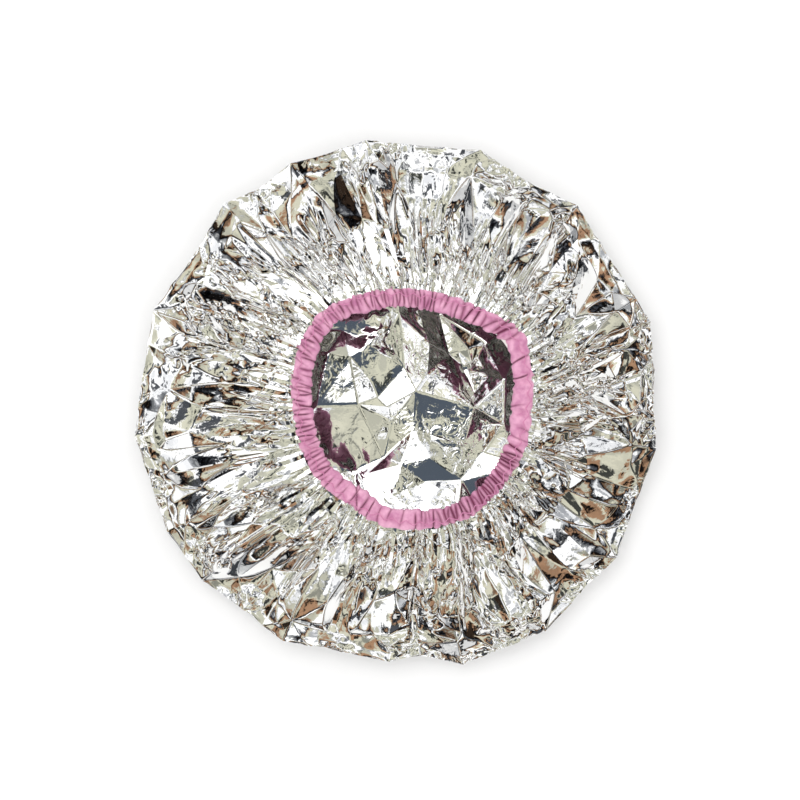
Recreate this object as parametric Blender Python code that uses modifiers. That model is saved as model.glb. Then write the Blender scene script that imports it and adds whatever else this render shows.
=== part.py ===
"""Bouffant hair cap of metallised film with an elastic hem, lying crown-down.

Metres, +Z up. The origin is on the surface the cap lies on, under the centre of its outline.
The one sheet of film is drawn as three solids: the flat crown, the folded rim and the
gathered top that runs into the hem.
"""

import math

import bmesh
import bpy
from mathutils import Vector

# Film: one round sheet, drawn thicker than it is
FILM = 0.0010
GAP = 0.0003
RIM_RADIUS = 0.140
RIM_TOP = 0.0280
CROWN_RADIUS = 0.1060
RIM_STEPS = 56
TOP_START_RADIUS = 0.1085
EDGE_FLAT = 0.0040
RIM_CURVE = ((0.1210, 0.0022), (0.1320, 0.0062), (0.1376, 0.0094), (0.1396, 0.0112),
             (RIM_RADIUS, 0.0128), (0.1390, 0.0146), (0.1340, 0.0178), (0.1240, 0.0232))
PLEATS = 34
PLEAT_HEIGHT = 0.0022
STEPS_PER_PLEAT = 4

# Hem: an almost round loop, off the outline's centre, with two softly squared corners
HEM_CENTRE = Vector((0.0081, -0.0021, 0.0))
HEM_HEIGHT = 0.0450
HEM_RADIUS = 0.0594
HEM_WAVES = ((1, 0.0015, 102), (2, 0.0011, -79), (3, 0.0022, 84), (4, 0.0015, 146))
HEM_STEPS = 80

# Binding: a tape folded over the film's edge, its mouth facing out
BINDING_WIDTH = 0.0106
BINDING_THICKNESS = 0.0056
BINDING_CORNER = 0.0016
SLOT_DEPTH = 0.0094
SLOT_HALF_HEIGHT = FILM / 2 + GAP

# Elastic: a flat strip inside the fold
ELASTIC_WIDTH = 0.0048
ELASTIC_THICKNESS = 0.0010
ELASTIC_OFFSET = -0.0013

# Seam: zigzag thread through the tape, one thread above and one below
THREAD_RADIUS = 0.00025
THREAD_POINTS = 100
ZIGZAG_WIDTH = 0.0012
SEAM_OFFSET = 0.0022

FILM_COLOUR = (0.80, 0.78, 0.72)
BINDING_COLOUR = (0.69, 0.22, 0.43)
THREAD_COLOUR = (0.74, 0.30, 0.50)
ELASTIC_COLOUR = (0.85, 0.84, 0.80)


def clear_scene():
    for old in list(bpy.data.objects):
        bpy.data.objects.remove(old, do_unlink=True)


def new_collection(name):
    collection = bpy.data.collections.new(name)
    bpy.context.scene.collection.children.link(collection)
    return collection


def new_material(name, colour, roughness, metallic=0.0):
    material = bpy.data.materials.new(name)
    material.use_nodes = True
    shader = material.node_tree.nodes["Principled BSDF"]
    shader.inputs["Base Color"].default_value = (*colour, 1.0)
    shader.inputs["Roughness"].default_value = roughness
    shader.inputs["Metallic"].default_value = metallic
    return material


def hem_swell(angle):
    """How far the hem's centre line stands out from its mean circle at an angle."""
    waves = (size * math.cos(n * angle - math.radians(peak)) for n, size, peak in HEM_WAVES)
    return sum(waves)


def smooth(share):
    share = min(max(share, 0.0), 1.0)
    return share * share * (3.0 - 2.0 * share)


def to_hem(point, weight):
    """Move a point of a round ring onto the real, offset and uneven hem."""
    angle = math.atan2(point.y, point.x)
    outward = Vector((math.cos(angle), math.sin(angle), 0.0))
    return point + weight * (HEM_CENTRE + hem_swell(angle) * outward)


def turned_mesh(name, profile, steps, closed=False):
    """Spin a profile of (radius, height) points about Z into a mesh."""
    shape = bmesh.new()
    points = [shape.verts.new((radius, 0.0, height)) for radius, height in profile]
    pairs = list(zip(points, points[1:]))
    if closed:
        pairs.append((points[-1], points[0]))
    edges = [shape.edges.new(pair) for pair in pairs]
    bmesh.ops.spin(shape, geom=points + edges, cent=(0, 0, 0), axis=(0, 0, 1),
                   angle=math.tau, steps=steps, use_merge=True)
    bmesh.ops.remove_doubles(shape, verts=shape.verts, dist=0.00001)
    bmesh.ops.recalc_face_normals(shape, faces=shape.faces)
    mesh = bpy.data.meshes.new(name)
    shape.to_mesh(mesh)
    shape.free()
    return mesh


def add_object(name, mesh, material, collection, sharp_deg=40):
    part = bpy.data.objects.new(name, mesh)
    part.data.materials.append(material)
    part.data.shade_smooth()
    part.data.set_sharp_from_angle(angle=math.radians(sharp_deg))
    collection.objects.link(part)
    return part


def add_film_thickness(part, offset):
    solid = part.modifiers.new("film", "SOLIDIFY")
    solid.thickness = FILM
    solid.offset = offset
    solid.use_even_offset = True


def face_away(mesh, centre):
    """Turn an open sheet's faces so that their normals point away from a centre."""
    shape = bmesh.new()
    shape.from_mesh(mesh)
    outward = sum(face.normal.dot(face.calc_center_median() - centre) * face.calc_area()
                  for face in shape.faces)
    if outward < 0.0:
        bmesh.ops.reverse_faces(shape, faces=shape.faces)
    shape.to_mesh(mesh)
    shape.free()


def make_crown_panel(material, collection):
    """The flat middle of the sheet, which carries the cap."""
    bpy.ops.mesh.primitive_cylinder_add(vertices=72, radius=CROWN_RADIUS, depth=FILM,
                                        location=(0, 0, FILM / 2))
    part = bpy.context.object
    part.name = "crown_panel"
    part.data.name = "crown_panel"
    part.data.materials.append(material)
    for owner in list(part.users_collection):
        owner.objects.unlink(part)
    collection.objects.link(part)


def rim_profile():
    """Outer line of the folded rim: up and out from the crown, round the edge, then back in."""
    foot = CROWN_RADIUS + GAP
    start = [(foot, 0.0), (foot + EDGE_FLAT, 0.0)]
    end = [(TOP_START_RADIUS + EDGE_FLAT, RIM_TOP), (TOP_START_RADIUS, RIM_TOP)]
    return start + list(RIM_CURVE) + end


def make_rim_fold(material, collection):
    """The fold where the sheet turns from the crown up and back inwards."""
    mesh = turned_mesh("rim_fold", rim_profile(), RIM_STEPS)
    face_away(mesh, Vector((0.0, 0.0, RIM_TOP / 2)))
    part = add_object("rim_fold", mesh, material, collection)
    add_film_thickness(part, offset=-1.0)


def pleat_weight(radius):
    """Pleats are flat at the rim and inside the binding, and full between them."""
    rim_side = smooth((TOP_START_RADIUS - radius) / 0.020)
    hem_side = smooth((radius - HEM_RADIUS - BINDING_WIDTH) / 0.010)
    return rim_side * hem_side


def make_gathered_panel(material, collection):
    """The top of the sheet, pleated in towards the hem and tucked into the binding."""
    tuck = HEM_RADIUS + BINDING_WIDTH / 2 - 0.0030
    mouth = HEM_RADIUS + BINDING_WIDTH / 2 + 0.0010
    outer = TOP_START_RADIUS - GAP
    profile = [(outer, RIM_TOP - FILM / 2), (outer - EDGE_FLAT, RIM_TOP - FILM / 2)]
    profile.append((0.098, 0.0323))
    profile.append((0.084, 0.0380))
    profile.append((0.074, 0.0420))
    profile.append((mouth, HEM_HEIGHT))
    profile.append((tuck, HEM_HEIGHT))
    mesh = turned_mesh("gathered_panel", profile, PLEATS * STEPS_PER_PLEAT)
    for vertex in mesh.vertices:
        radius = math.hypot(vertex.co.x, vertex.co.y)
        angle = math.atan2(vertex.co.y, vertex.co.x)
        wave = PLEAT_HEIGHT * pleat_weight(radius) * math.cos(PLEATS * angle)
        near_hem = smooth((outer - radius) / (outer - mouth))
        vertex.co = to_hem(vertex.co, near_hem) + Vector((0.0, 0.0, wave))
    face_away(mesh, Vector((0.0, 0.0, 0.0)))
    part = add_object("gathered_panel", mesh, material, collection)
    add_film_thickness(part, offset=0.0)


def binding_profile():
    """Section of the folded tape: rounded inside edge, and a slot open to the outside."""
    half_width = BINDING_WIDTH / 2
    half_height = BINDING_THICKNESS / 2
    outer = HEM_RADIUS + half_width
    inner = HEM_RADIUS - half_width
    bottom = HEM_HEIGHT - half_height
    top = HEM_HEIGHT + half_height
    slot_end = outer - SLOT_DEPTH
    points = [(slot_end, HEM_HEIGHT - SLOT_HALF_HEIGHT), (outer, HEM_HEIGHT - SLOT_HALF_HEIGHT)]
    points.append((outer - BINDING_CORNER / 2, bottom))
    points.append((inner + BINDING_CORNER, bottom))
    points.append((inner, bottom + BINDING_CORNER))
    points.append((inner, top - BINDING_CORNER))
    points.append((inner + BINDING_CORNER, top))
    points.append((outer - BINDING_CORNER / 2, top))
    points.append((outer, HEM_HEIGHT + SLOT_HALF_HEIGHT))
    points.append((slot_end, HEM_HEIGHT + SLOT_HALF_HEIGHT))
    return points


def make_hem_loop(name, profile, material, collection):
    mesh = turned_mesh(name, profile, HEM_STEPS, closed=True)
    for vertex in mesh.vertices:
        vertex.co = to_hem(vertex.co, 1.0)
    add_object(name, mesh, material, collection)


def elastic_profile():
    middle = HEM_RADIUS + ELASTIC_OFFSET
    sides = (middle - ELASTIC_WIDTH / 2, middle + ELASTIC_WIDTH / 2)
    levels = (HEM_HEIGHT - ELASTIC_THICKNESS / 2, HEM_HEIGHT + ELASTIC_THICKNESS / 2)
    return [(sides[0], levels[0]), (sides[1], levels[0]),
            (sides[1], levels[1]), (sides[0], levels[1])]


def make_seam_thread(name, height, material, collection):
    """A zigzag of thread that goes once round the hem and closes on itself."""
    curve = bpy.data.curves.new(name, "CURVE")
    curve.dimensions = "3D"
    curve.bevel_depth = THREAD_RADIUS
    curve.bevel_resolution = 1
    curve.use_fill_caps = True
    spline = curve.splines.new("POLY")
    spline.points.add(THREAD_POINTS - 1)
    spline.use_cyclic_u = True
    for index, point in enumerate(spline.points):
        angle = math.tau * index / THREAD_POINTS
        side = ZIGZAG_WIDTH if index % 2 else -ZIGZAG_WIDTH
        radius = HEM_RADIUS + SEAM_OFFSET + side
        flat = Vector((radius * math.cos(angle), radius * math.sin(angle), height))
        point.co = (*to_hem(flat, 1.0), 1.0)
    part = bpy.data.objects.new(name, curve)
    part.data.materials.append(material)
    collection.objects.link(part)


def main():
    clear_scene()
    cap = new_collection("foil_hair_cap")
    film = new_material("metallised_film", FILM_COLOUR, 0.15, metallic=1.0)
    tape = new_material("binding_fabric", BINDING_COLOUR, 0.85)
    rubber = new_material("elastic_knit", ELASTIC_COLOUR, 0.80)
    thread = new_material("seam_thread", THREAD_COLOUR, 0.70)
    make_crown_panel(film, cap)
    make_rim_fold(film, cap)
    make_gathered_panel(film, cap)
    make_hem_loop("binding_tape", binding_profile(), tape, cap)
    make_hem_loop("elastic_band", elastic_profile(), rubber, cap)
    clearance = BINDING_THICKNESS / 2 + GAP + THREAD_RADIUS
    make_seam_thread("needle_thread", HEM_HEIGHT + clearance, thread, cap)
    make_seam_thread("looper_thread", HEM_HEIGHT - clearance, thread, cap)


main()
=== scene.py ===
"""Looks of the foil hair cap: crumpled metallised film gathered into a pink elastic hem."""

import math

import bpy
import numpy as np
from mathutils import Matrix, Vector, geometry


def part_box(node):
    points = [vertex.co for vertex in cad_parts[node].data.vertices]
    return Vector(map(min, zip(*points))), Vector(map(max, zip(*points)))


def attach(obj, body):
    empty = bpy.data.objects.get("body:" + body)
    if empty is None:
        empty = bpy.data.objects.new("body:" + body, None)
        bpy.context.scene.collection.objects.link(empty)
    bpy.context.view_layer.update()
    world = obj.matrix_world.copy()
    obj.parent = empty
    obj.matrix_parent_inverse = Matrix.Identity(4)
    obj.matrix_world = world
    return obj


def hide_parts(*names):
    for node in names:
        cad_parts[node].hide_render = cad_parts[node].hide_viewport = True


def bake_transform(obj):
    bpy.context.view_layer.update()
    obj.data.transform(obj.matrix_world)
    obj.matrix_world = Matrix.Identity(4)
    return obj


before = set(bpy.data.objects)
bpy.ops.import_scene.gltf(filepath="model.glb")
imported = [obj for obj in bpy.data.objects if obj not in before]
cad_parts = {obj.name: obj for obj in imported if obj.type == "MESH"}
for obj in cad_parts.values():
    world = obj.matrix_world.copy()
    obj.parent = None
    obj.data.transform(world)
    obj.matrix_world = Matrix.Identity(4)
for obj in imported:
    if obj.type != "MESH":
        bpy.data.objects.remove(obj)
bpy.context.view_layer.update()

MM = 0.001
SEED = 7

# The hem's centre line, as in the CAD: mean radius, centre and waves (order, size, peak angle)
TAPE_LOW, TAPE_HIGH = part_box("binding_tape")
HEM_HEIGHT = (TAPE_LOW.z + TAPE_HIGH.z) / 2
HEM_CENTRE = np.array([0.0081, -0.0021])
HEM_RADIUS = 0.0594
HEM_WAVES = ((1, 0.0015, 102), (2, 0.0011, -79), (3, 0.0022, 84), (4, 0.0015, 146))

# Where the hem leaves that line: angle in degrees, distance in mm
TAPE_SHIFT = ((-145, 0.8), (-122, -1.6), (-104, 1.6), (-88, 0), (-52, -0.5), (-34, 0), (-17, 1.3),
              (0, -1.4), (22, -0.8), (34, 2.6), (46, -0.6), (60, -1.3), (74, 0.3), (94, 0.6),
              (116, -1.2), (134, 0.8), (157, -0.3), (180, 0))

# The round sheet of film, by distance from its middle: where it lies in the finished cap
SHEET_RADIUS = 0.250
PROFILE_S = np.array([0, 70, 108, 124, 136, 146, 152, 164, 182, 200, 218, 233, 243, 250]) * MM
PROFILE_R = np.array([0, 69, 106, 121, 132, 139.8, 135, 126, 112.5, 98, 84, 73.5, 67, 62]) * MM
PROFILE_Z = np.array([2, 2, 2.5, 4, 7.5, 12.5, 14.4, 19, 26.5, 33, 38.4, 42.0, 43.6, 43.9]) * MM
RIM_RADIUS = 0.1398
RIM_S = 0.146
TABLE_CLEARANCE = 0.4 * MM

# Corners of the outline, as seen from above: angle in degrees, distance in millimetres
RIM_CORNERS = (
    (3, 138), (18, 143), (30, 139), (48, 144), (60, 139), (72, 144), (87, 140), (97, 143),
    (108, 140), (114, 142), (123, 138), (131, 143), (145, 136), (159, 141), (174, 139),
    (187, 143), (200, 140), (209, 142), (222, 142), (233, 139), (244, 142), (255, 137),
    (268, 139), (275, 136), (284, 145), (303, 146), (314, 142), (325, 144), (340, 139), (350, 141),
)

rng = np.random.default_rng(SEED)


def smooth(share):
    """A soft step from 0 to 1."""
    share = np.clip(share, 0.0, 1.0)
    return share * share * (3.0 - 2.0 * share)


def hem_swell(angle):
    """How far the hem's centre line stands out from its mean circle at an angle."""
    return sum(size * np.cos(n * angle - math.radians(peak)) for n, size, peak in HEM_WAVES)


def tape_shift(u):
    """How far the real, uneven tape leaves the hem's centre line at an angle."""
    angles = [math.radians(a) for a, _ in TAPE_SHIFT]
    sizes = [size * MM for _, size in TAPE_SHIFT]
    return np.interp((u + math.pi) % math.tau - math.pi, angles, sizes, period=math.tau)


def outline(angle):
    """Distance from the middle to the straight sides of the outline, at an angle."""
    corners = sorted((math.radians(a), d * MM) for a, d in RIM_CORNERS)
    angles = np.array([corners[-1][0] - math.tau] + [a for a, _ in corners]
                      + [corners[0][0] + math.tau])
    radii = np.array([corners[-1][1]] + [d for _, d in corners] + [corners[0][1]])
    turn = np.mod(angle - angles[0], math.tau) + angles[0]
    index = np.clip(np.searchsorted(angles, turn, side="right") - 1, 0, len(angles) - 2)
    a0, a1 = angles[index], angles[index + 1]
    r0, r1 = radii[index], radii[index + 1]
    across = r0 * r1 * np.sin(a1 - a0)
    along = r0 * np.sin(turn - a0) + r1 * np.sin(a1 - turn)
    return across / along


# ---------------------------------------------------------------- the crumpled film

FLAT_PART = 0.165
SQUEEZE = 0.40


def to_drawing(s):
    """Radius in the drawing plane, where the gathered part is squeezed so facets grow long."""
    return np.where(s < FLAT_PART, s, FLAT_PART + (s - FLAT_PART) * SQUEEZE)


def from_drawing(d):
    """Distance from the sheet's middle before squeezing."""
    return np.where(d < FLAT_PART, d, FLAT_PART + (d - FLAT_PART) / SQUEEZE)


DRAWING_RADIUS = float(to_drawing(np.array(SHEET_RADIUS)))

# Points of the big folds seen through the opening: x, y and height above the table, in mm
INNER_POINTS = {
    "tent_top": (10.7, 50.3, 22), "tent_upper": (17.2, 33.1, 20.5), "tent_middle": (16.2, 16.5, 16),
    "tent_end": (9.8, 7.2, 8), "tent_foot_right": (42.1, -2.0, 8),
    "tent_side_right": (28.3, 27.6, 3), "tent_top_right": (22.7, 49.0, 2),
    "tent_side_left": (3.3, 20.2, 5), "tent_top_left": (0.5, 49.9, 10),
    "middle_low": (8.8, -13.6, 8), "middle_right": (37.0, -20.5, 8),
    "fold_left": (-44.8, -1.1, 15), "fold_middle": (-21.7, -0.2, 15), "fold_end": (-6.0, -1.5, 10),
    "cream_top": (-26.3, 25.7, 11), "cream_left": (-38.3, 27.6, 13), "cream_right": (-16.1, 14.6, 8),
    "cream_foot": (-11.5, 3.5, 8), "column_top": (-15.2, 32.2, 10), "column_side": (-6.0, 36.8, 4),
    "top_left": (-4.1, 50.9, 12), "corner_left": (-30.9, 40.5, 6),
    "low_left": (-7.8, -29.8, 3), "low_left_foot": (-26.3, -37.2, 1),
    "arch_top": (18.1, -17.0, 7), "arch_right": (46.8, -27.0, 6), "arch_left": (-16.1, -38.1, 6),
    "lens_crest": (18.1, -29.8, 13), "lens_left": (1.4, -33.5, 13), "lens_low": (15.3, -42.7, 13),
    "lens_right": (34.7, -41.8, 13), "foot_left": (-3.2, -50.1, 18), "foot_right": (30.1, -51.0, 19),
    "foot_low": (12.0, -61.5, 24), "foot_far_left": (-12.0, -59.0, 22),
    "foot_far_right": (33.0, -60.5, 25), "brown_dip": (-3.2, -9.4, 5),
    "copper_top": (47.7, 33.1, 19), "copper_middle": (40.0, 16.5, 2),
    "copper_right": (57.8, 12.8, 27), "copper_ridge": (38.4, 30.3, 6),
    "rose_right": (57.9, -11.3, 17), "rose_middle": (46.6, -11.3, 4),
}
INNER_CREASES = (
    ("tent_top", "tent_upper"), ("tent_upper", "tent_middle"), ("tent_middle", "tent_end"),
    ("tent_end", "tent_foot_right"), ("tent_top", "tent_side_right"),
    ("tent_side_right", "tent_foot_right"), ("tent_top_left", "tent_side_left"),
    ("tent_side_left", "tent_end"), ("fold_left", "fold_middle"), ("fold_middle", "fold_end"),
    ("fold_end", "tent_end"), ("middle_low", "arch_top"), ("arch_top", "arch_right"),
    ("arch_left", "low_left"), ("low_left", "middle_low"), ("lens_left", "lens_low"),
    ("lens_low", "lens_right"), ("lens_left", "lens_crest"), ("lens_crest", "lens_right"),
    ("cream_top", "cream_right"), ("cream_right", "cream_foot"),
)
INNER_ROUGH = ("column_top", "column_side", "top_left", "tent_top", "arch_top", "rose_middle",
               "copper_middle", "foot_left", "foot_right", "low_left_foot")
INNER_CLEAR = 0.060

# The big folds stand at this share of those heights, over a crown that lies at this height in mm
INNER_HEIGHT = 0.45
CROWN_HEIGHT = 2

# Long creases that leave the binding: how many, the distances where they may end, and their
# height at each distance. They slant from SLANT_S inwards, by a full slant after SLANT_LENGTH.
FOLDS = 36
FOLD_ENDS = (0.226, 0.208, 0.188, 0.170, 0.154)
FOLD_S = np.array([250, 240, 226, 208, 188, 170, 154]) * MM
FOLD_PUSH = np.array([0.5, 1.2, 2.6, 4.0, 4.2, 3.2, 0.8]) * MM
SLANT_S = 0.238
SLANT_LENGTH = 0.080
SLANT_JITTER = 0.015

# Bundles of fine creases along most of the longer ones: half widths and crease spacings in mm,
# the share of long creases that have one, and how steep the fine creases are
BUNDLE_WIDTHS = (2.0, 5.5)
BUNDLE_PERIODS = (2.2, 3.4)
BUNDLE_LONGEST_END = 0.19
BUNDLE_SHARE = 0.75
BUNDLE_SLOPE = 0.30
BUNDLE_ROWS = 64
BUNDLE_EDGE = 1.2 * MM
BUNDLE_FADE = 0.012
FOLD_OVERRUN = 0.004

# Points scattered between the creases: the gap between them by distance in the drawing plane
SCATTER_D = [0, 0.09, 0.12, 0.16, 0.182, 0.187, DRAWING_RADIUS]
SCATTER_GAP = [0.026, 0.024, 0.017, 0.0155, 0.0155, 0.1, 0.1]
SCATTER_TRIES = 40000
SCATTER_MARGIN = 0.010

# How far the scattered points may stand off the smooth shape, by distance from the middle
COARSE_S = [0, 0.11, 0.130, 0.140, 0.153, 0.170, 0.210, 0.238, 0.250]
COARSE_PUSH = np.array([6, 6, 3, 1.0, 0.8, 3.8, 4.0, 1.5, 0.5]) * MM
CROWN_S = 0.125
CROWN_FADE = 0.015

# Crumpling: the triangles are cut in four LEVELS times, with a random push and a sideways step,
# as shares of the edge's length. Points rougher than ROUGH_FROM get crumpled patches.
LEVELS = 4
PUSH_SHARE = (0.12, 0.12, 0.08, 0.02)
ROUGH_SHARE = 0.20
ROUGH_EXTRA = 0.8
ROUGH_FROM = 0.32
ROUGH_GAIN = 2.5
ROUGH_CHANGE = 0.12
LEAST_SHARE = 0.02
INNER_ROUGHNESS = 0.85
INNER_SMOOTHNESS = 0.1
SIDE_SHARE = 0.12
EDGE_MARGIN = 0.002

# Random creases are calmer inside the opening, among the pleats, at the rim and in the bundles:
# what is left of them there, or how much is taken away, and from which distance
INSIDE_LEAST = 0.45
INSIDE_RADIUS = 0.050
INSIDE_FADE = 0.020
PLEAT_CALM = 0.85
PLEAT_CALM_S = 0.206
PLEAT_CALM_FADE = 0.020
TUCK_CALM = 0.1
TUCK_CALM_S = 0.238
TUCK_CALM_FADE = 0.008
RIM_CALM = 0.4
RIM_CALM_REACH = 0.010
BUNDLE_CALM = 0.7

# Pleats: rows per long crease, height, and the distances where they begin and are full.
# They drop under the tape, where the sheet's edge is fluted.
PLEAT_ROWS = ((2, 1.7 * MM, 0.206, 0.230), (4, 1.15 * MM, 0.212, 0.234))
PLEAT_DROP = 0.75
DROP_S = 0.2470
DROP_LENGTH = 0.0028
SNAP_LINES = 8
SNAP_S = 0.200
SNAP_REACH = 0.30
EDGE_FLUTES = 110
EDGE_FLUTE = 1.0 * MM
FLUTE_S = 0.2478
FLUTE_LENGTH = 0.0016

# The outline's corners fade in and out about the rim, and the hem's offset fades in towards it
CORNERS_S = (0.095, 0.160)
CORNERS_FADE = (0.040, 0.045)
OFFSET_S = (0.165, 0.243)

# Slow waves: the rim's rise and fall, and the slight curves of the facets
RIM_WAVE = 2.5 * MM
RIM_WAVE_REACH = 0.040
SWELL = 0.17 * MM
SWELL_LENGTH = 0.024
RIPPLE = 0.025 * MM
RIPPLE_LENGTH = 0.009


def make_folds():
    """Long creases: angle, slant away from the radius, where each ends, and its bundle's width."""
    steps = rng.uniform(0.5, 1.5, FOLDS)
    turns = np.concatenate([[0.0], np.cumsum(steps)]) / steps.sum() * math.tau
    slants = 0.09 * np.sin(3 * turns + 1.0) + 0.04 * np.sin(7 * turns + 2.0)
    slants[:-1] += rng.uniform(-SLANT_JITTER, SLANT_JITTER, FOLDS)
    slants[-1] = slants[0]
    ends = rng.choice(FOLD_ENDS, FOLDS)
    widths = rng.uniform(*BUNDLE_WIDTHS, FOLDS) * MM * (ends < BUNDLE_LONGEST_END)
    widths = widths * (rng.random(FOLDS) < BUNDLE_SHARE)
    return {"turns": turns, "slants": slants, "ends": ends, "widths": widths}


def straightened(angle, s, folds):
    """The angle a point would have if the slanting creases ran straight out."""
    reach = np.maximum(SLANT_S - s, 0.0) / SLANT_LENGTH
    turn = angle
    for _ in range(3):
        turn = angle - np.interp(np.mod(turn, math.tau), folds["turns"], folds["slants"]) * reach
    return np.mod(turn, math.tau)


def fold_lines(folds):
    """Rows of points along the long creases, up on one crease and down on the next."""
    rows = []
    for index, (turn, slant, end) in enumerate(zip(folds["turns"], folds["slants"], folds["ends"])):
        up = 1 if index % 2 else -1
        row = []
        for s, size in zip(FOLD_S, FOLD_PUSH):
            if s > end - FOLD_OVERRUN:
                d = min(float(to_drawing(np.array(s))), DRAWING_RADIUS)
                angle = turn + slant * max(SLANT_S - s, 0.0) / SLANT_LENGTH
                push = up * size * rng.uniform(0.5, 1.2)
                row.append((d * math.cos(angle), d * math.sin(angle), push))
        rows.append(row)
    return rows


def rim_points():
    """Points on the rim crease: the outline's corners and the middles of its sides."""
    corners = sorted(math.radians(a) for a, _ in RIM_CORNERS)
    turns = []
    for here, after in zip(corners, corners[1:] + [corners[0] + math.tau]):
        turns += [here, (here + after) / 2]
    return [(RIM_S * math.cos(t), RIM_S * math.sin(t)) for t in turns]


def scatter_points(taken):
    """Random points in the drawing plane, kept clear of the taken ones."""
    kept = []
    cell = 0.03
    grid = {}

    def add(x, y):
        grid.setdefault((int(x // cell), int(y // cell)), []).append((x, y))

    def free(x, y, gap):
        cx, cy = int(x // cell), int(y // cell)
        near = (point for i in (-1, 0, 1) for j in (-1, 0, 1)
                for point in grid.get((cx + i, cy + j), ()))
        return all((px - x) ** 2 + (py - y) ** 2 > gap * gap for px, py in near)

    for x, y in taken:
        add(x, y)
    for _ in range(SCATTER_TRIES):
        d = DRAWING_RADIUS * math.sqrt(rng.random())
        turn = math.tau * rng.random()
        x, y = d * math.cos(turn), d * math.sin(turn)
        near = math.hypot(x - HEM_CENTRE[0], y - HEM_CENTRE[1])
        gap = float(np.interp(d, SCATTER_D, SCATTER_GAP)) * rng.uniform(0.8, 1.3)
        if near > INNER_CLEAR and d < DRAWING_RADIUS - SCATTER_MARGIN and free(x, y, gap):
            add(x, y)
            kept.append((x, y))
    return kept


def crumple_mesh():
    """Points in the drawing plane, their push off the smooth shape, and the triangles."""
    names = list(INNER_POINTS)
    points = [(x * MM, y * MM) for x, y, _ in INNER_POINTS.values()]
    pushes = [(z * INNER_HEIGHT - CROWN_HEIGHT) * -MM for _, _, z in INNER_POINTS.values()]
    creases = [(names.index(a), names.index(b)) for a, b in INNER_CREASES]
    folds = make_folds()
    for row in fold_lines(folds):
        first = len(points)
        points += [(x, y) for x, y, _ in row]
        pushes += [size for _, _, size in row]
        creases += [(first + i, first + i + 1) for i in range(len(row) - 1)]
    rim = rim_points()
    first = len(points)
    points += rim
    pushes += [0.0] * len(rim)
    creases += [(first + i, first + (i + 1) % len(rim)) for i in range(len(rim))]
    fixed = len(points)
    points += scatter_points(points)
    result = geometry.delaunay_2d_cdt([Vector(p) for p in points], creases, [], 0, 1e-7)
    flat = np.array([tuple(v) for v in result[0]])
    faces = np.array([f for f in result[2] if len(f) == 3])
    source = [o[0] if len(o) else -1 for o in result[3]]
    push = coarse_push(np.hypot(flat[:, 0], flat[:, 1]), len(flat))
    for i, origin in enumerate(source):
        if 0 <= origin < fixed:
            push[i] = pushes[origin]
    rough = rng.uniform(0.0, 0.15, len(flat))
    rough = rough + ROUGH_EXTRA * (rng.random(len(flat)) < ROUGH_SHARE)
    for i, origin in enumerate(source):
        if 0 <= origin < len(names):
            rough[i] = INNER_ROUGHNESS if names[origin] in INNER_ROUGH else INNER_SMOOTHNESS
    for level in range(LEVELS):
        flat, push, rough, faces = split(flat, push, rough, faces, level, folds)
    flat = snapped(flat, folds)
    push = push + pleats(flat, folds) + bundles(flat, folds)[0] + swelling(flat, folds)
    return flat, push, orient(flat, faces)


def coarse_push(radius, count):
    """How far each scattered point stands off the smooth shape; only upwards in the crown."""
    s = from_drawing(radius)
    push = np.interp(s, COARSE_S, COARSE_PUSH) * rng.uniform(-1.0, 1.0, count)
    crown = smooth((CROWN_S - s) / CROWN_FADE)
    return push * (1 - crown) - crown * np.abs(push)


def polar(flat):
    """Angle from 0 to a full turn, and distance from the sheet's middle before gathering."""
    angle = np.mod(np.arctan2(flat[:, 1], flat[:, 0]), math.tau)
    return angle, from_drawing(np.hypot(flat[:, 0], flat[:, 1]))


def calm(flat, folds):
    """How strongly the random creases show: less inside the opening and among the fine pleats."""
    near = np.hypot(flat[:, 0] - HEM_CENTRE[0], flat[:, 1] - HEM_CENTRE[1])
    s = polar(flat)[1]
    inside = INSIDE_LEAST + (1 - INSIDE_LEAST) * smooth((near - INSIDE_RADIUS) / INSIDE_FADE)
    pleated = 1.0 - PLEAT_CALM * smooth((s - PLEAT_CALM_S) / PLEAT_CALM_FADE)
    tucked = pleated - TUCK_CALM * smooth((s - TUCK_CALM_S) / TUCK_CALM_FADE)
    rim = 1.0 - RIM_CALM * smooth(1 - np.abs(s - RIM_S) / RIM_CALM_REACH)
    return inside * tucked * rim * (1.0 - BUNDLE_CALM * bundles(flat, folds)[1])


def bundles(flat, folds):
    """Parallel fine creases that run along some of the long ones, and where they lie."""
    angle, s = polar(flat)
    turn = straightened(angle, s, folds)
    r = np.interp(s, PROFILE_S, PROFILE_R)
    total = np.zeros(len(flat))
    weight = np.zeros(len(flat))
    for index in range(FOLDS):
        width = folds["widths"][index]
        if width == 0:
            continue
        across = ((turn - folds["turns"][index] + math.pi) % math.tau - math.pi) * r
        along = smooth((s - folds["ends"][index] + FOLD_OVERRUN) / BUNDLE_FADE)
        band = smooth((width - np.abs(across)) / BUNDLE_EDGE) * along
        own = np.random.default_rng(100 + index)
        period = own.uniform(*BUNDLE_PERIODS) * MM
        sizes = own.uniform(0.3, 1.0, BUNDLE_ROWS)
        row = np.floor(across / period).astype(int) % BUNDLE_ROWS
        tent = 1 - np.abs(2 * np.mod(across / period, 1.0) - 1)
        total += band * tent * sizes[row] * period * BUNDLE_SLOPE
        weight = np.maximum(weight, band)
    return total, weight


def gathered(flat):
    """How much narrower the film has become: 1 in the crown, about a third at the hem."""
    drawn = np.hypot(flat[:, 0], flat[:, 1])
    s = from_drawing(drawn)
    return np.interp(s, PROFILE_S, PROFILE_R) / np.maximum(drawn, 0.01)


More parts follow.
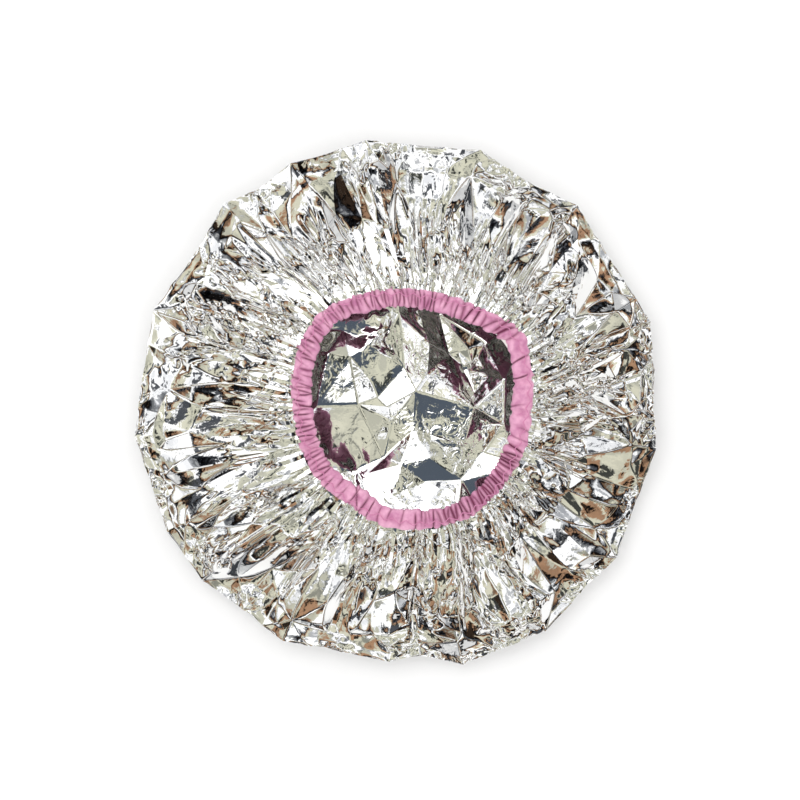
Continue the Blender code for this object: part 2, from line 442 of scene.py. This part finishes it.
def waves(flat, length, count, seed):
    """Smooth random swelling of about that wavelength, from about -1 to 1."""
    own = np.random.default_rng(seed)
    total = np.zeros(len(flat))
    for _ in range(count):
        heading = own.uniform(0, math.tau)
        pitch = math.tau / (length * own.uniform(0.6, 1.6))
        along = flat[:, 0] * math.cos(heading) + flat[:, 1] * math.sin(heading)
        total += np.cos(pitch * along + own.uniform(0, math.tau))
    return total / math.sqrt(count / 2)


def swelling(flat, folds):
    """Slight curves that keep the facets from being flat mirrors."""
    size = gathered(flat) * calm(flat, folds)
    return (SWELL * waves(flat, SWELL_LENGTH, 14, 3)
            + RIPPLE * waves(flat, RIPPLE_LENGTH, 14, 4)) * size


def uneven(angle, phase):
    """A slow, irregular wave round the hem, from about -1 to 1."""
    return (np.sin(3 * angle + phase) + np.sin(7 * angle + 2.1 * phase)
            + np.sin(13 * angle + 3.7 * phase)) / 2.2


def pleats(flat, folds):
    """Fine gathers between the long creases, which start at the binding and die out."""
    angle, s = polar(flat)
    drop = 1 - PLEAT_DROP * smooth((s - DROP_S) / DROP_LENGTH)
    column = np.interp(straightened(angle, s, folds), folds["turns"], np.arange(FOLDS + 1))
    total = np.zeros(len(flat))
    for parts, size, start, full in PLEAT_ROWS:
        cell = np.floor(column * parts).astype(int) % (FOLDS * parts)
        tent = 1 - np.abs(2 * np.mod(column * parts, 1.0) - 1)
        own = rng.uniform(0.35, 1.0, FOLDS * parts) * rng.choice([-1, 1, 1], FOLDS * parts)
        begin = start + rng.uniform(-0.015, 0.012, FOLDS * parts)
        strength = smooth((s - begin[cell]) / (full - start)) * drop
        total += size * strength * own[cell] * tent
    tucked = smooth((s - FLUTE_S) / FLUTE_LENGTH)
    flutes = 4 * np.abs(np.mod(EDGE_FLUTES * angle / math.tau, 1.0) - 0.5) - 1
    return total + EDGE_FLUTE * tucked * flutes


def snapped(flat, folds):
    """Move points that lie almost on a pleat's edge onto it, so that the edges run straight."""
    angle, s = polar(flat)
    turn = straightened(angle, s, folds)
    column = np.interp(turn, folds["turns"], np.arange(FOLDS + 1))
    target = np.round(column * SNAP_LINES) / SNAP_LINES
    near = (np.abs(target - column) * SNAP_LINES < SNAP_REACH) & (s > SNAP_S)
    turn_by = near * (np.interp(target, np.arange(FOLDS + 1), folds["turns"]) - turn)
    c, d = np.cos(turn_by), np.sin(turn_by)
    return np.stack([flat[:, 0] * c - flat[:, 1] * d, flat[:, 0] * d + flat[:, 1] * c], axis=1)


def split(flat, push, rough, faces, level, folds):
    """Cut each triangle in four, moving the new points a little off the old facets."""
    pairs = np.sort(np.concatenate([faces[:, [0, 1]], faces[:, [1, 2]], faces[:, [2, 0]]]), axis=1)
    edges, where = np.unique(pairs, axis=0, return_inverse=True)
    where = where.reshape(3, -1)
    a, b = edges[:, 0], edges[:, 1]
    length = np.hypot(*(flat[a] - flat[b]).T)
    middle = (flat[a] + flat[b]) / 2
    new_rough = (rough[a] + rough[b]) / 2 + rng.uniform(-ROUGH_CHANGE, ROUGH_CHANGE, len(edges))
    share = np.clip((new_rough - ROUGH_FROM) * ROUGH_GAIN, LEAST_SHARE, 1.0)
    size = rng.uniform(-1.0, 1.0, len(edges)) * share * PUSH_SHARE[level] * length
    side = rng.uniform(-SIDE_SHARE, SIDE_SHARE, (len(edges), 2)) * length[:, None] * share[:, None]
    outer = np.hypot(*middle.T) > DRAWING_RADIUS - EDGE_MARGIN
    side[outer] = 0.0
    new_push = (push[a] + push[b]) / 2 + size * calm(middle, folds) * gathered(middle)
    first = len(flat)
    ab, bc, ca = where[0] + first, where[1] + first, where[2] + first
    i, j, k = faces.T
    faces = np.concatenate([np.stack(t, axis=1) for t in
                            ((i, ab, ca), (ab, j, bc), (ca, bc, k), (ab, bc, ca))])
    return (np.concatenate([flat, middle + side]), np.concatenate([push, new_push]),
            np.concatenate([rough, new_rough]), faces)


def orient(flat, faces):
    """Turn all triangles the same way round."""
    a, b, c = flat[faces[:, 0]], flat[faces[:, 1]], flat[faces[:, 2]]
    turn = (b[:, 0] - a[:, 0]) * (c[:, 1] - a[:, 1]) - (b[:, 1] - a[:, 1]) * (c[:, 0] - a[:, 0])
    faces = faces.copy()
    back = turn > 0
    faces[back] = faces[back][:, ::-1]
    return faces


def film_place(flat, push):
    """From the drawing plane onto the shape of the cap."""
    drawn = np.hypot(flat[:, 0], flat[:, 1])
    angle = np.arctan2(flat[:, 1], flat[:, 0])
    s = np.minimum(from_drawing(drawn), SHEET_RADIUS)
    r = np.interp(s, PROFILE_S, PROFILE_R)
    z = np.interp(s, PROFILE_S, PROFILE_Z)
    step = 2 * MM
    dr = np.interp(s + step, PROFILE_S, PROFILE_R) - np.interp(s - step, PROFILE_S, PROFILE_R)
    dz = np.interp(s + step, PROFILE_S, PROFILE_Z) - np.interp(s - step, PROFILE_S, PROFILE_Z)
    length = np.hypot(dr, dz)
    out_r, out_z = dz / length, -dr / length
    r = r + push * out_r
    z = z + push * out_z
    rim_weight = smooth((s - CORNERS_S[0]) / CORNERS_FADE[0])
    rim_weight = rim_weight * (1 - smooth((s - CORNERS_S[1]) / CORNERS_FADE[1]))
    r = r * (1 + rim_weight * (outline(angle) / RIM_RADIUS - 1))
    to_hem = smooth((s - OFFSET_S[0]) / (OFFSET_S[1] - OFFSET_S[0]))
    r = r + to_hem * (hem_swell(angle) + tape_shift(angle))
    x = r * np.cos(angle) + to_hem * HEM_CENTRE[0]
    y = r * np.sin(angle) + to_hem * HEM_CENTRE[1]
    z = z + RIM_WAVE * smooth(1 - np.abs(s - RIM_S) / RIM_WAVE_REACH) * uneven(angle, 0.9)
    z = np.maximum(z, TABLE_CLEARANCE)
    return np.stack([x, y, z], axis=1)


def new_mesh(name, points, faces):
    """A mesh whose faces all have the same number of corners."""
    mesh = bpy.data.meshes.new(name)
    mesh.vertices.add(len(points))
    mesh.vertices.foreach_set("co", points.astype(np.float32).ravel())
    mesh.loops.add(faces.size)
    mesh.loops.foreach_set("vertex_index", faces.astype(np.int32).ravel())
    mesh.polygons.add(len(faces))
    sides = faces.shape[1]
    mesh.polygons.foreach_set("loop_start", np.arange(len(faces), dtype=np.int32) * sides)
    mesh.update(calc_edges=True)
    mesh.validate()
    return mesh


def add_piece(name, mesh, material, sharp_deg):
    """An object that is shaded smooth except at edges sharper than sharp_deg."""
    piece = bpy.data.objects.new(name, mesh)
    piece.data.materials.append(material)
    piece.data.shade_smooth()
    piece.data.set_sharp_from_angle(angle=math.radians(sharp_deg))
    bpy.context.scene.collection.objects.link(piece)
    return piece


# ---------------------------------------------------------------- materials


def material_nodes(name):
    """A new material, with its nodes, its links and its shader."""
    material = bpy.data.materials.new(name)
    material.use_nodes = True
    nodes = material.node_tree.nodes
    return material, nodes, material.node_tree.links, nodes["Principled BSDF"]


def noise_node(nodes, links, place, scale, detail=3.0, roughness=0.5, distortion=0.0):
    """Noise that stays with the object."""
    noise = nodes.new("ShaderNodeTexNoise")
    noise.inputs["Scale"].default_value = scale
    noise.inputs["Detail"].default_value = detail
    noise.inputs["Roughness"].default_value = roughness
    noise.inputs["Distortion"].default_value = distortion
    links.new(place.outputs["Object"], noise.inputs["Vector"])
    return noise


def ramp_node(nodes, links, source, stops):
    """A value turned into a colour by stops of (position, colour)."""
    ramp = nodes.new("ShaderNodeValToRGB")
    elements = ramp.color_ramp.elements
    while len(elements) > 1:
        elements.remove(elements[-1])
    elements[0].position = stops[0][0]
    elements[0].color = (*stops[0][1], 1.0)
    for position, colour in stops[1:]:
        elements.new(position).color = (*colour, 1.0)
    links.new(source, ramp.inputs["Fac"])
    return ramp


def crown_crumple(nodes, links, place, below):
    """Small dents in patches of the crown, the lowest part of the film."""
    where = noise_node(nodes, links, place, 42.0, detail=2.0)
    patches = ramp_node(nodes, links, where.outputs["Fac"], [(0.50, (0, 0, 0)), (0.66, (1, 1, 1))])
    axes = nodes.new("ShaderNodeSeparateXYZ")
    links.new(place.outputs["Object"], axes.inputs["Vector"])
    low = nodes.new("ShaderNodeMapRange")
    links.new(axes.outputs["Z"], low.inputs["Value"])
    low.inputs["From Min"].default_value = 0.016
    low.inputs["From Max"].default_value = 0.010
    both = nodes.new("ShaderNodeMath")
    both.operation = "MULTIPLY"
    links.new(patches.outputs["Color"], both.inputs[0])
    links.new(low.outputs["Result"], both.inputs[1])
    dents = noise_node(nodes, links, place, 170.0, detail=2.0, roughness=0.55, distortion=1.0)
    crushed = nodes.new("ShaderNodeBump")
    crushed.inputs["Distance"].default_value = 0.0006
    links.new(both.outputs[0], crushed.inputs["Strength"])
    links.new(dents.outputs["Fac"], crushed.inputs["Height"])
    links.new(below.outputs["Normal"], crushed.inputs["Normal"])
    return crushed


def film_material():
    """Mirror-like metallised film with fine ripples, tiny creases and a dented crown."""
    material, nodes, links, shader = material_nodes("metallised_film")
    place = nodes.new("ShaderNodeTexCoord")
    shader.inputs["Metallic"].default_value = 1.0
    tint = noise_node(nodes, links, place, 60.0, detail=2.0)
    colour = ramp_node(nodes, links, tint.outputs["Fac"],
                       [(0.35, (0.88, 0.88, 0.87)), (0.65, (0.95, 0.95, 0.945))])
    links.new(colour.outputs["Color"], shader.inputs["Base Color"])
    haze = noise_node(nodes, links, place, 110.0, detail=4.0)
    rough = ramp_node(nodes, links, haze.outputs["Fac"],
                      [(0.3, (0.02, 0.02, 0.02)), (0.75, (0.07, 0.07, 0.07))])
    links.new(rough.outputs["Color"], shader.inputs["Roughness"])
    ripple = noise_node(nodes, links, place, 170.0, detail=3.0, distortion=0.6)
    creases = nodes.new("ShaderNodeTexVoronoi")
    creases.feature = "DISTANCE_TO_EDGE"
    creases.inputs["Scale"].default_value = 330.0
    links.new(place.outputs["Object"], creases.inputs["Vector"])
    wide = nodes.new("ShaderNodeBump")
    wide.inputs["Strength"].default_value = 0.08
    wide.inputs["Distance"].default_value = 0.0006
    links.new(ripple.outputs["Fac"], wide.inputs["Height"])
    fine = nodes.new("ShaderNodeBump")
    fine.inputs["Strength"].default_value = 0.05
    fine.inputs["Distance"].default_value = 0.0004
    links.new(creases.outputs["Distance"], fine.inputs["Height"])
    links.new(wide.outputs["Normal"], fine.inputs["Normal"])
    crushed = crown_crumple(nodes, links, place, fine)
    links.new(crushed.outputs["Normal"], shader.inputs["Normal"])
    return material


def tape_material():
    """Matt pink woven tape, with random blotches that are partly its uneven tone and partly painted
    highlights, and painted shade darkening the depth of its gathers.
    """
    material, nodes, links, shader = material_nodes("binding_fabric")
    place = nodes.new("ShaderNodeTexCoord")
    # Random lighter and darker blotches in the pink: partly the fabric's uneven tone, partly painted
    # highlights.
    tone_and_painted_highlights = noise_node(nodes, links, place, 220.0, detail=5.0)
    colour = ramp_node(nodes, links, tone_and_painted_highlights.outputs["Fac"],
                       [(0.3, (0.54, 0.20, 0.36)), (0.72, (0.86, 0.46, 0.63))])
    # Painted shade: the pink is mixed towards a dark wine red by the stored gather depth. It is darkest
    # in the gathers' valleys and along the lapped end's edge, where shade would fall.
    depth = nodes.new("ShaderNodeAttribute")
    depth.attribute_name = "painted_gather_shade"
    deep = nodes.new("ShaderNodeMix")
    deep.data_type = "RGBA"
    links.new(depth.outputs["Fac"], deep.inputs["Factor"])
    links.new(colour.outputs["Color"], deep.inputs[6])
    deep.inputs[7].default_value = (0.17, 0.02, 0.07, 1.0)
    links.new(deep.outputs[2], shader.inputs["Base Color"])
    shader.inputs["Roughness"].default_value = 0.85
    shader.inputs["Sheen Weight"].default_value = 0.2
    shader.inputs["Sheen Roughness"].default_value = 0.5
    weave = noise_node(nodes, links, place, 2600.0, detail=2.0)
    bump = nodes.new("ShaderNodeBump")
    bump.inputs["Strength"].default_value = 0.35
    bump.inputs["Distance"].default_value = 0.0002
    links.new(weave.outputs["Fac"], bump.inputs["Height"])
    links.new(bump.outputs["Normal"], shader.inputs["Normal"])
    return material


# ---------------------------------------------------------------- pieces


def make_film(material):
    """The film as one open sheet, which follows the crown at its rim and the hem at its edge."""
    flat, push, faces = crumple_mesh()
    points = film_place(flat, push)
    film = add_piece("foil_sheet", new_mesh("foil_sheet", points, faces), material, 32)
    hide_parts("crown_panel", "rim_fold", "gathered_panel")
    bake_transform(film)


# Gathers of the tape: the gap between them in mm, by the angle round the hem in degrees
TAPE_PLACES = (-180, -145, -125, -104, -92, -85, -62, -28, -18, -4, 24, 32, 58, 68, 100, 116, 150, 180)
TAPE_GAPS = (2.4, 2.6, 6.0, 6.5, 5.0, 2.8, 2.1, 2.1, 5.0, 15, 15, 4.6, 4.2, 2.8, 2.1, 2.2, 2.3, 2.4)

# Between which angles the gathers lean over, and where else they are bunched
LEANING = (28, 62)
BUNCHED = (-80, -25)

# Section of the tape, how deep its gathers go, and how much its ridges swell
TAPE_HALF_WIDTH = 5.4 * MM
TAPE_HALF_HEIGHT = 2.7 * MM
TAPE_CROWNING = 0.8
GATHER_DEPTH = 1.9 * MM
DEEPEST = 1.7 * MM
PUFF = 0.45 * MM
PUFF_LENGTH = 0.006
SIDE_PUSH = 0.75

# The lapped end: its angle round the hem, slant, length and thickness, and the groove along its edge,
# which is also painted as a line of shade in the tape's colour
LAP_TURN = math.radians(238)
LAP_SLANT = 4.0 * MM
LAP_LENGTH = 22 * MM
LAP_THICKNESS = 0.7 * MM
LAP_RISE = 0.5 * MM
LAP_EDGE = 0.3 * MM
LAP_EDGE_WIDTH = 0.4 * MM


def gathers(u, along):
    """Depth of the gathers across the tape, from 0 on the ridges to 1 in the deepest valleys; the same
    depth darkens the tape's colour as painted shade.

    Each gather has its own depth, lean, bend, thickness and place across the tape.
    """
    depth = np.zeros((len(u), along.shape[1]))
    turn = 0.0
    while turn < math.tau:
        degrees = (math.degrees(turn) + 180) % 360 - 180
        gap = float(np.interp(degrees, TAPE_PLACES, TAPE_GAPS)) * MM * rng.uniform(0.6, 1.4)
        turn += gap / HEM_RADIUS
        leaning = LEANING[0] < degrees < LEANING[1]
        bunched = 1.0 if leaning or BUNCHED[0] < degrees < BUNCHED[1] else 0.0
        deep = rng.uniform(0.45, 1.0) + 0.25 * bunched
        lean = rng.uniform(-0.7, 0.5) * (1 + 1.2 * leaning)
        centre = rng.uniform(-1.2, 1.2) * (1 - 0.6 * bunched)
        thick = rng.uniform(0.35, 0.65) * MM * (1 + 0.5 * bunched)
        bend = rng.uniform(-0.5, 0.5)
        shift = (u[:, None] - turn - (lean * along + bend * along ** 2) * 1.8 * MM / HEM_RADIUS
                 + math.pi) % math.tau
        away = np.abs(shift - math.pi) * HEM_RADIUS
        reach = smooth(1.7 - np.abs(along - centre))
        depth = np.maximum(depth, np.exp(-(away / thick) ** 1.3) * deep * reach)
    return depth


def make_binding(material):
    """The folded tape as a closed loop, crowned, with sharp irregular gathers across it."""
    around, across = 1300, 32
    u = np.arange(around) / around * math.tau
    v = np.arange(across) / across * math.tau
    along = np.cos(v)[None, :]
    section_r = np.sign(np.cos(v)) * np.abs(np.cos(v)) ** TAPE_CROWNING * TAPE_HALF_WIDTH
    section_z = np.sign(np.sin(v)) * np.abs(np.sin(v)) ** TAPE_CROWNING * TAPE_HALF_HEIGHT
    depth = np.clip(gathers(u, along), 0.0, 1.0)
    lap = (u[:, None] - LAP_TURN) * HEM_RADIUS - LAP_SLANT * along
    raised = smooth(lap / LAP_RISE) * smooth(1 - lap / LAP_LENGTH)
    # The lapped end's edge: a narrow groove, and also a line of painted shade in the tape's colour.
    depth = np.maximum(depth, np.exp(-np.abs(lap + LAP_EDGE) / LAP_EDGE_WIDTH))
    puff = PUFF * waves(np.stack([np.cos(u), np.sin(u)], axis=1) * HEM_RADIUS, PUFF_LENGTH, 16, 9)
    push = np.maximum(-depth * GATHER_DEPTH + puff[:, None], -DEEPEST) + raised * LAP_THICKNESS
    normal_r, normal_z = np.cos(v), np.sin(v)
    centre_r = HEM_RADIUS + hem_swell(u) + tape_shift(u)
    r = centre_r[:, None] + section_r[None, :] + push * normal_r[None, :] * SIDE_PUSH
    z = HEM_HEIGHT + section_z[None, :] + push * normal_z[None, :]
    x = r * np.cos(u)[:, None] + HEM_CENTRE[0]
    y = r * np.sin(u)[:, None] + HEM_CENTRE[1]
    points = np.stack([x, y, np.broadcast_to(z, x.shape)], axis=2).reshape(-1, 3)
    i, j = np.meshgrid(np.arange(around), np.arange(across), indexing="ij")
    i2, j2 = (i + 1) % around, (j + 1) % across
    faces = np.stack([i * across + j, i2 * across + j, i2 * across + j2, i * across + j2],
                     axis=2).reshape(-1, 4)
    mesh = new_mesh("binding_fabric", points, faces)
    # The gather depth is kept on the mesh to paint shade into the tape's colour.
    shade = mesh.attributes.new("painted_gather_shade", "FLOAT", "POINT")
    shade.data.foreach_set("value", depth.astype(np.float32).ravel())
    tape = add_piece("binding_fabric", mesh, material, 60)
    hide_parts("binding_tape")
    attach(tape, "hem")
    return tape


# ---------------------------------------------------------------- stage, light and camera

# Bands of the studio from the horizon up: where each begins, and its colour
STUDIO_BANDS = [(0.00, (0.80, 0.80, 0.80)), (0.05, (0.006, 0.005, 0.005)), (0.11, (0.06, 0.07, 0.085)),
                (0.14, (0.10, 0.06, 0.04)), (0.17, (0.48, 0.28, 0.17)), (0.24, (0.76, 0.74, 0.59)),
                (0.31, (1.28, 1.28, 1.29)), (0.43, (0.38, 0.39, 0.40)), (0.46, (0.08, 0.085, 0.10)),
                (0.485, (0.006, 0.005, 0.005)), (0.52, (0.46, 0.27, 0.16)), (0.565, (0.76, 0.74, 0.59)),
                (0.645, (0.38, 0.39, 0.40)), (0.66, (1.28, 1.28, 1.29)), (0.82, (0.77, 0.755, 0.61)),
                (0.93, (0.72, 0.71, 0.57))]
BAND_EDGE = 0.010

# How much the bands wander up and down, and the dark gaps and grey panels that cut them
STUDIO_UNEVEN = 1.3
GAP_SCALE = 9.0
GAP_STOPS = [(0.395, (0.07, 0.075, 0.085)), (0.405, (1, 1, 1)),
             (0.605, (1, 1, 1)), (0.615, (0.45, 0.46, 0.48))]
OVERHEAD = (0.085, 0.105, 0.135, 1.0)

STUDIO_STOPS = [STUDIO_BANDS[0]]
for (_, below), (start, above) in zip(STUDIO_BANDS, STUDIO_BANDS[1:]):
    STUDIO_STOPS += [(start - BAND_EDGE / 2, below), (start + BAND_EDGE / 2, above)]


def multiplied(nodes, links, colour, shade):
    """A colour darkened by a ramp's colour."""
    product = nodes.new("ShaderNodeMix")
    product.data_type = "RGBA"
    product.blend_type = "MULTIPLY"
    product.inputs["Factor"].default_value = 1.0
    links.new(colour, product.inputs[6])
    links.new(shade.outputs["Color"], product.inputs[7])
    return product.outputs[2]


def dark_gaps(nodes, links, place, colour):
    """Narrow upright gaps between the studio's panels, none of them overhead."""
    upright = nodes.new("ShaderNodeMapping")
    upright.inputs["Scale"].default_value = (1.0, 1.0, 0.12)
    links.new(place.outputs["Generated"], upright.inputs["Vector"])
    panels = nodes.new("ShaderNodeTexNoise")
    panels.inputs["Scale"].default_value = GAP_SCALE
    panels.inputs["Detail"].default_value = 1.0
    links.new(upright.outputs["Vector"], panels.inputs["Vector"])
    shade = ramp_node(nodes, links, panels.outputs["Fac"], GAP_STOPS)
    return multiplied(nodes, links, colour, shade)


def soft_clouds(nodes, links, place, colour):
    """Slow changes of brightness over the panels, so that white facets aren't blank."""
    clouds = nodes.new("ShaderNodeTexNoise")
    clouds.inputs["Scale"].default_value = 6.0
    clouds.inputs["Detail"].default_value = 4.0
    links.new(place.outputs["Generated"], clouds.inputs["Vector"])
    shade = ramp_node(nodes, links, clouds.outputs["Fac"],
                      [(0.40, (0.72, 0.73, 0.75)), (0.55, (1, 1, 1))])
    return multiplied(nodes, links, colour, shade)


def make_world():
    """A plain white room that lights the cap, and a banded studio that the film mirrors."""
    world = bpy.data.worlds.new("studio")
    bpy.context.scene.world = world
    world.use_nodes = True
    nodes, links = world.node_tree.nodes, world.node_tree.links
    nodes.clear()
    place = nodes.new("ShaderNodeTexCoord")
    noise = nodes.new("ShaderNodeTexNoise")
    noise.inputs["Scale"].default_value = 1.8
    noise.inputs["Detail"].default_value = 1.5
    noise.inputs["Roughness"].default_value = 0.45
    noise.inputs["Distortion"].default_value = 0.4
    links.new(place.outputs["Generated"], noise.inputs["Vector"])
    split_xyz = nodes.new("ShaderNodeSeparateXYZ")
    links.new(place.outputs["Generated"], split_xyz.inputs["Vector"])
    centred = nodes.new("ShaderNodeMath")
    centred.operation = "SUBTRACT"
    links.new(noise.outputs["Fac"], centred.inputs[0])
    centred.inputs[1].default_value = 0.5
    height = nodes.new("ShaderNodeMath")
    height.operation = "MULTIPLY_ADD"
    links.new(centred.outputs[0], height.inputs[0])
    height.inputs[1].default_value = STUDIO_UNEVEN
    links.new(split_xyz.outputs["Z"], height.inputs[2])
    studio = ramp_node(nodes, links, height.outputs[0], STUDIO_STOPS)
    zenith = ramp_node(nodes, links, split_xyz.outputs["Z"],
                       [(0.0, (0, 0, 0)), (0.988, (0, 0, 0)), (0.992, (1, 1, 1)), (1.0, (1, 1, 1))])
    gaps = dark_gaps(nodes, links, place, studio.outputs["Color"])
    panels = soft_clouds(nodes, links, place, gaps)
    overhead = nodes.new("ShaderNodeMix")
    overhead.data_type = "RGBA"
    links.new(zenith.outputs["Color"], overhead.inputs["Factor"])
    links.new(panels, overhead.inputs[6])
    overhead.inputs[7].default_value = OVERHEAD
    seen = nodes.new("ShaderNodeBackground")
    links.new(overhead.outputs[2], seen.inputs["Color"])
    seen.inputs["Strength"].default_value = 1.0
    plain = nodes.new("ShaderNodeBackground")
    plain.inputs["Color"].default_value = (1.0, 0.995, 0.99, 1.0)
    plain.inputs["Strength"].default_value = 1.06
    path = nodes.new("ShaderNodeLightPath")
    mix = nodes.new("ShaderNodeMixShader")
    links.new(path.outputs["Is Glossy Ray"], mix.inputs["Fac"])
    links.new(plain.outputs["Background"], mix.inputs[1])
    links.new(seen.outputs["Background"], mix.inputs[2])
    output = nodes.new("ShaderNodeOutputWorld")
    links.new(mix.outputs["Shader"], output.inputs["Surface"])


FLOOR_HALF = 3.0
LIGHT_PLACE = (-0.5, 0.6, 1.6)


def make_stage():
    """A plain, pale floor."""
    mesh = bpy.data.meshes.new("floor")
    size = FLOOR_HALF
    mesh.from_pydata([(-size, -size, 0), (size, -size, 0), (size, size, 0), (-size, size, 0)],
                     [], [(0, 1, 2, 3)])
    floor = bpy.data.objects.new("floor", mesh)
    bpy.context.scene.collection.objects.link(floor)
    material, nodes, links, shader = material_nodes("floor")
    shader.inputs["Base Color"].default_value = (0.93, 0.93, 0.93, 1.0)
    shader.inputs["Roughness"].default_value = 0.9
    floor.data.materials.append(material)


def make_lights():
    """One large, weak softbox; most of the light comes from the room."""
    data = bpy.data.lights.new("softbox", "AREA")
    data.shape = "DISK"
    data.size = 1.2
    data.energy = 5.0
    light = bpy.data.objects.new("softbox", data)
    light.location = LIGHT_PLACE
    light.rotation_euler = Vector(LIGHT_PLACE).to_track_quat("Z", "Y").to_euler()
    bpy.context.scene.collection.objects.link(light)


# The camera's place, and the width that it sees at a height near the rim, in metres
CAMERA_PLACE = (0.0011, 0.0021, 1.6)
SEEN_WIDTH = 0.4296
SEEN_HEIGHT = 0.018
SENSOR = 36.0


def make_camera():
    """Straight above the cap, a little off its centre."""
    data = bpy.data.cameras.new("camera")
    data.sensor_width = SENSOR
    data.lens = SENSOR * (CAMERA_PLACE[2] - SEEN_HEIGHT) / SEEN_WIDTH
    camera = bpy.data.objects.new("camera", data)
    camera.location = CAMERA_PLACE
    bpy.context.scene.collection.objects.link(camera)
    bpy.context.scene.camera = camera


def improve_hidden():
    """The elastic and the threads stay as CAD nodes, with a mottled yarn material."""
    for node, colour in (("elastic_band", (0.85, 0.84, 0.80)), ("needle_thread", (0.70, 0.26, 0.46)),
                         ("looper_thread", (0.70, 0.26, 0.46))):
        material, nodes, links, shader = material_nodes(node + "_material")
        place = nodes.new("ShaderNodeTexCoord")
        ribs = noise_node(nodes, links, place, 1500.0)
        shade = ramp_node(nodes, links, ribs.outputs["Fac"],
                          [(0.3, tuple(0.8 * c for c in colour)), (0.7, colour)])
        links.new(shade.outputs["Color"], shader.inputs["Base Color"])
        shader.inputs["Roughness"].default_value = 0.8
        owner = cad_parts[node]
        owner.data.materials.clear()
        owner.data.materials.append(material)


make_camera()
make_stage()
make_lights()
make_world()
hem_tape = make_binding(tape_material())
make_film(film_material())
improve_hidden()
bpy.context.scene.view_settings.view_transform = "Standard"
bpy.context.scene.cycles.glossy_bounces = 7
